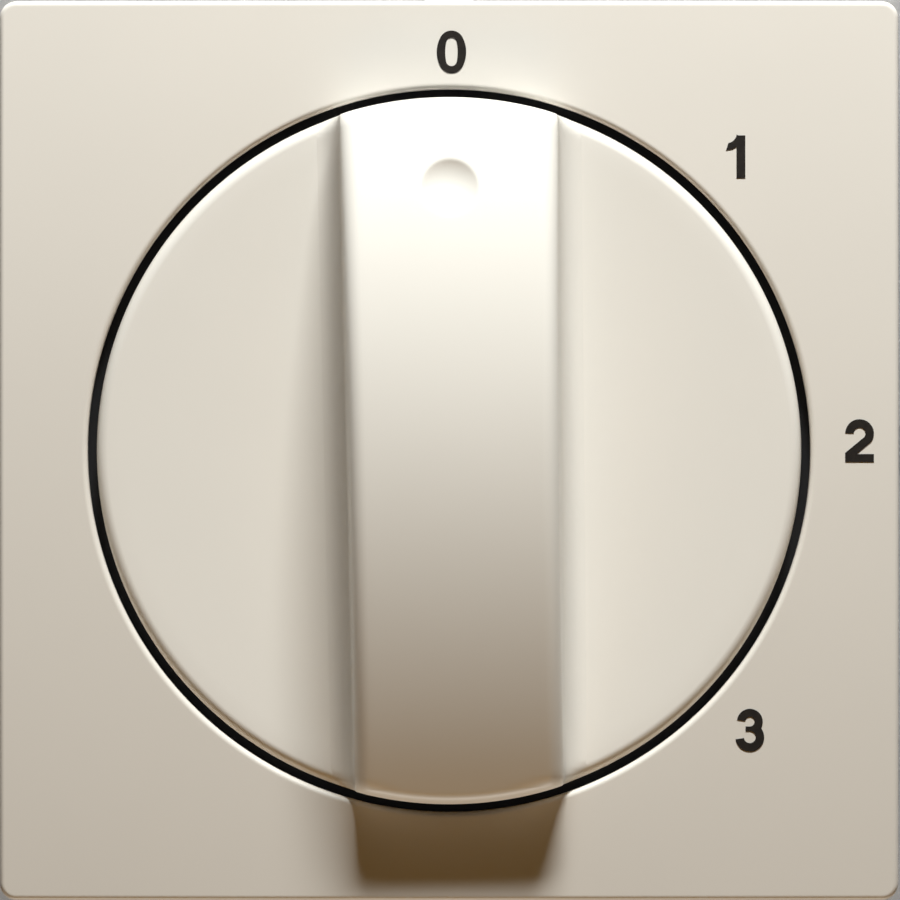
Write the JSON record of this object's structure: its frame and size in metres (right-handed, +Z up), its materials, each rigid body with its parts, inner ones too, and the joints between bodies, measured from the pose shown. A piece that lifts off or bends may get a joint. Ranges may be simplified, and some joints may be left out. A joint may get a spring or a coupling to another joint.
{
  "type": "rotary step control",
  "caption": "Flush wall control: square centre plate with a flush round toggle knob, numbered off and stages, on a clamped switch insert with steel support ring.",
  "frame": {"origin": "centre of the support ring's rear face, on the wall plane and the knob's axis", "axes": "+Z up, +Y into the wall along the knob's axis, +X to the right seen from the room"},
  "size_m": [0.071, 0.0416, 0.071],
  "materials": {
    "cream_plastic": "satin moulded thermoplastic, pure white to cream",
    "knob_plastic": "satin moulded thermoplastic",
    "printing_ink": "pad printed numerals",
    "retainer_plastic": "matt moulded plastic",
    "base_plastic": "matt thermoset",
    "cover_plastic": "matt moulded plastic",
    "cam_plastic": "natural acetal",
    "zinc_steel": "zinc plated",
    "spring_steel": "bright rolled",
    "turned_steel": "turned and zinc plated",
    "brass_strip": "stamped strip",
    "bronze_blade": "phosphor bronze strip"
  },
  "bodies": {
    "housing": {"centre_plate": "cream_plastic", "dial_numerals": "printing_ink", "knob_retainer": "retainer_plastic", "support_ring": "zinc_steel", "ring_screws": "turned_steel", "base": "base_plastic", "base_cover": "cover_plastic", "spindle_washer": "spring_steel", "common_bar": "brass_strip", "detent_spring_right": "spring_steel", "detent_spring_left": "spring_steel", "fixed_contact_1": "brass_strip", "fixed_contact_2": "brass_strip", "fixed_contact_3": "brass_strip", "contact_spring_1": "bronze_blade", "contact_spring_2": "bronze_blade", "contact_spring_3": "bronze_blade", "claw_pin_right": "turned_steel", "claw_pin_left": "turned_steel"},
    "selector": {"knob": "knob_plastic", "knob_clip": "spring_steel", "spindle": "turned_steel", "spindle_circlip": "spring_steel", "cam_drum": "cam_plastic"},
    "terminal_screw_1": {"terminal_screw_1": "turned_steel"},
    "clamp_cage_1": {"clamp_cage_1": "zinc_steel"},
    "terminal_screw_2": {"terminal_screw_2": "turned_steel"},
    "clamp_cage_2": {"clamp_cage_2": "zinc_steel"},
    "terminal_screw_3": {"terminal_screw_3": "turned_steel"},
    "clamp_cage_3": {"clamp_cage_3": "zinc_steel"},
    "terminal_screw_4": {"terminal_screw_4": "turned_steel"},
    "clamp_cage_4": {"clamp_cage_4": "zinc_steel"},
    "claw_screw_right": {"claw_screw_right": "turned_steel"},
    "claw_nut_right": {"claw_nut_right": "zinc_steel"},
    "claw_right": {"claw_right": "zinc_steel"},
    "claw_screw_left": {"claw_screw_left": "turned_steel"},
    "claw_nut_left": {"claw_nut_left": "zinc_steel"},
    "claw_left": {"claw_left": "zinc_steel"}
  },
  "joints": [
    {"name": "knob_turn", "type": "hinge", "parent": "housing", "child": "selector", "pos_m": [0, 0, 0], "axis": [0, 1, 0], "range_deg": [0, 135], "deforming": ["detent_spring_right", "detent_spring_left", "contact_spring_1", "contact_spring_2", "contact_spring_3"]},
    {"name": "terminal_turn_1", "type": "hinge", "parent": "housing", "child": "terminal_screw_1", "pos_m": [0.0086, 0.013, -0.019], "axis": [0, 0, 1], "range_deg": [0, 1080.01]},
    {"name": "clamp_rise_1", "type": "slide", "parent": "housing", "child": "clamp_cage_1", "axis": [0, 0, -1], "range_m": [0, 0.0015]},
    {"name": "terminal_turn_2", "type": "hinge", "parent": "housing", "child": "terminal_screw_2", "pos_m": [0.0086, 0.013, 0.019], "axis": [0, 0, -1], "range_deg": [0, 1080.01]},
    {"name": "clamp_rise_2", "type": "slide", "parent": "housing", "child": "clamp_cage_2", "axis": [0, 0, 1], "range_m": [0, 0.0015]},
    {"name": "terminal_turn_3", "type": "hinge", "parent": "housing", "child": "terminal_screw_3", "pos_m": [-0.0086, 0.013, 0.019], "axis": [0, 0, -1], "range_deg": [0, 1080.01]},
    {"name": "clamp_rise_3", "type": "slide", "parent": "housing", "child": "clamp_cage_3", "axis": [0, 0, 1], "range_m": [0, 0.0015]},
    {"name": "terminal_turn_4", "type": "hinge", "parent": "housing", "child": "terminal_screw_4", "pos_m": [-0.0086, 0.013, -0.019], "axis": [0, 0, 1], "range_deg": [0, 1080.01]},
    {"name": "clamp_rise_4", "type": "slide", "parent": "housing", "child": "clamp_cage_4", "axis": [0, 0, -1], "range_m": [0, 0.0015]},
    {"name": "claw_screw_turn_right", "type": "hinge", "parent": "housing", "child": "claw_screw_right", "pos_m": [0.0248, 0, 0], "axis": [0, 1, 0], "range_deg": [0, 792.01]},
    {"name": "claw_nut_rise_right", "type": "slide", "parent": "housing", "child": "claw_nut_right", "axis": [0, -1, 0], "range_m": [0, 0.0011]},
    {"name": "claw_swing_right", "type": "hinge", "parent": "housing", "child": "claw_right", "pos_m": [0.0202, 0.0054, 0], "axis": [0, 0, -1], "range_deg": [0, 30]},
    {"name": "claw_screw_turn_left", "type": "hinge", "parent": "housing", "child": "claw_screw_left", "pos_m": [-0.0248, 0, 0], "axis": [0, 1, 0], "range_deg": [0, 792.01]},
    {"name": "claw_nut_rise_left", "type": "slide", "parent": "housing", "child": "claw_nut_left", "axis": [0, -1, 0], "range_m": [0, 0.0011]},
    {"name": "claw_swing_left", "type": "hinge", "parent": "housing", "child": "claw_left", "pos_m": [-0.0202, 0.0054, 0], "axis": [0, 0, 1], "range_deg": [0, 30]}
  ],
  "couplings": [
    {"joint": "terminal_turn_1", "follows": "clamp_rise_1", "rad_per_m": 12566},
    {"joint": "terminal_turn_2", "follows": "clamp_rise_2", "rad_per_m": 12566},
    {"joint": "terminal_turn_3", "follows": "clamp_rise_3", "rad_per_m": 12566},
    {"joint": "terminal_turn_4", "follows": "clamp_rise_4", "rad_per_m": 12566},
    {"joint": "claw_screw_turn_right", "follows": "claw_nut_rise_right", "rad_per_m": 12566},
    {"joint": "claw_swing_right", "follows": "claw_nut_rise_right", "rad_per_m": 476},
    {"joint": "claw_screw_turn_left", "follows": "claw_nut_rise_left", "rad_per_m": 12566},
    {"joint": "claw_swing_left", "follows": "claw_nut_rise_left", "rad_per_m": 476}
  ]
}
